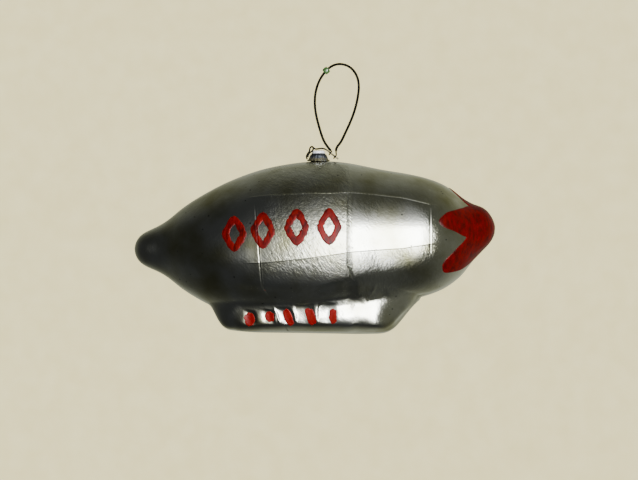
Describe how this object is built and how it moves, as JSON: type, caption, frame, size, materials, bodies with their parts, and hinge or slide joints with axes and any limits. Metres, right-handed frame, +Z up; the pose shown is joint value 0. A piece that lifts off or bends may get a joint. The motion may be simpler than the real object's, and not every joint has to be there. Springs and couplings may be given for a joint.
{
  "type": "blown-glass airship ornament",
  "caption": "Silvered blown-glass airship with a moulded gondola and brushed red enamel, hung from a wire loop through the bail of its tin-plate cap.",
  "frame": {"origin": "inside top of the wire loop, where a twig or hook carries it", "axes": "+X along the airship towards its nose, +Z up, +Y out of the side away from the pictured one"},
  "size_m": [0.1005, 0.0458, 0.0753],
  "materials": {
    "silvered_glass": "mould-blown glass silvered inside, tarnished and a little wavy",
    "tinplate": "pressed tin-plate, dulled",
    "bare_wire": "thin drawn wire, darkened",
    "black_wire": "black sleeve on a thin wire core, the core bare at its two curled ends",
    "green_bead_glass": "dark green glass seed bead, glossy",
    "red_enamel": "thin red enamel laid on by brush, glossy, worn at its edges"
  },
  "bodies": {
    "hanger": {"hanging_loop": "black_wire", "glass_bead": "green_bead_glass"},
    "cap": {"cap": "tinplate", "bail_wire": "bare_wire"},
    "glass": {"glass_body": "silvered_glass", "nose_star": "red_enamel", "window_dab_near_1": "red_enamel", "window_dab_near_2": "red_enamel", "window_dab_near_3": "red_enamel", "window_dab_near_4": "red_enamel", "window_dab_near_5": "red_enamel", "window_dab_far_1": "red_enamel", "window_dab_far_2": "red_enamel", "window_dab_far_3": "red_enamel", "window_dab_far_4": "red_enamel", "window_dab_far_5": "red_enamel", "lozenge_near_1": "red_enamel", "lozenge_near_2": "red_enamel", "lozenge_near_3": "red_enamel", "lozenge_near_4": "red_enamel", "lozenge_far_1": "red_enamel", "lozenge_far_2": "red_enamel", "lozenge_far_3": "red_enamel", "lozenge_far_4": "red_enamel"}
  },
  "joints": [
    {"name": "loop_swing", "type": "hinge", "parent": "hanger", "child": "cap", "pos_m": [-0.00211, 0, -0.0249], "axis": [0.788, 0, -0.6157], "range_deg": [-90, 90]},
    {"name": "glass_pull_off", "type": "slide", "parent": "cap", "child": "glass", "axis": [0, 0, -1], "range_m": [0, 0.008]}
  ]
}
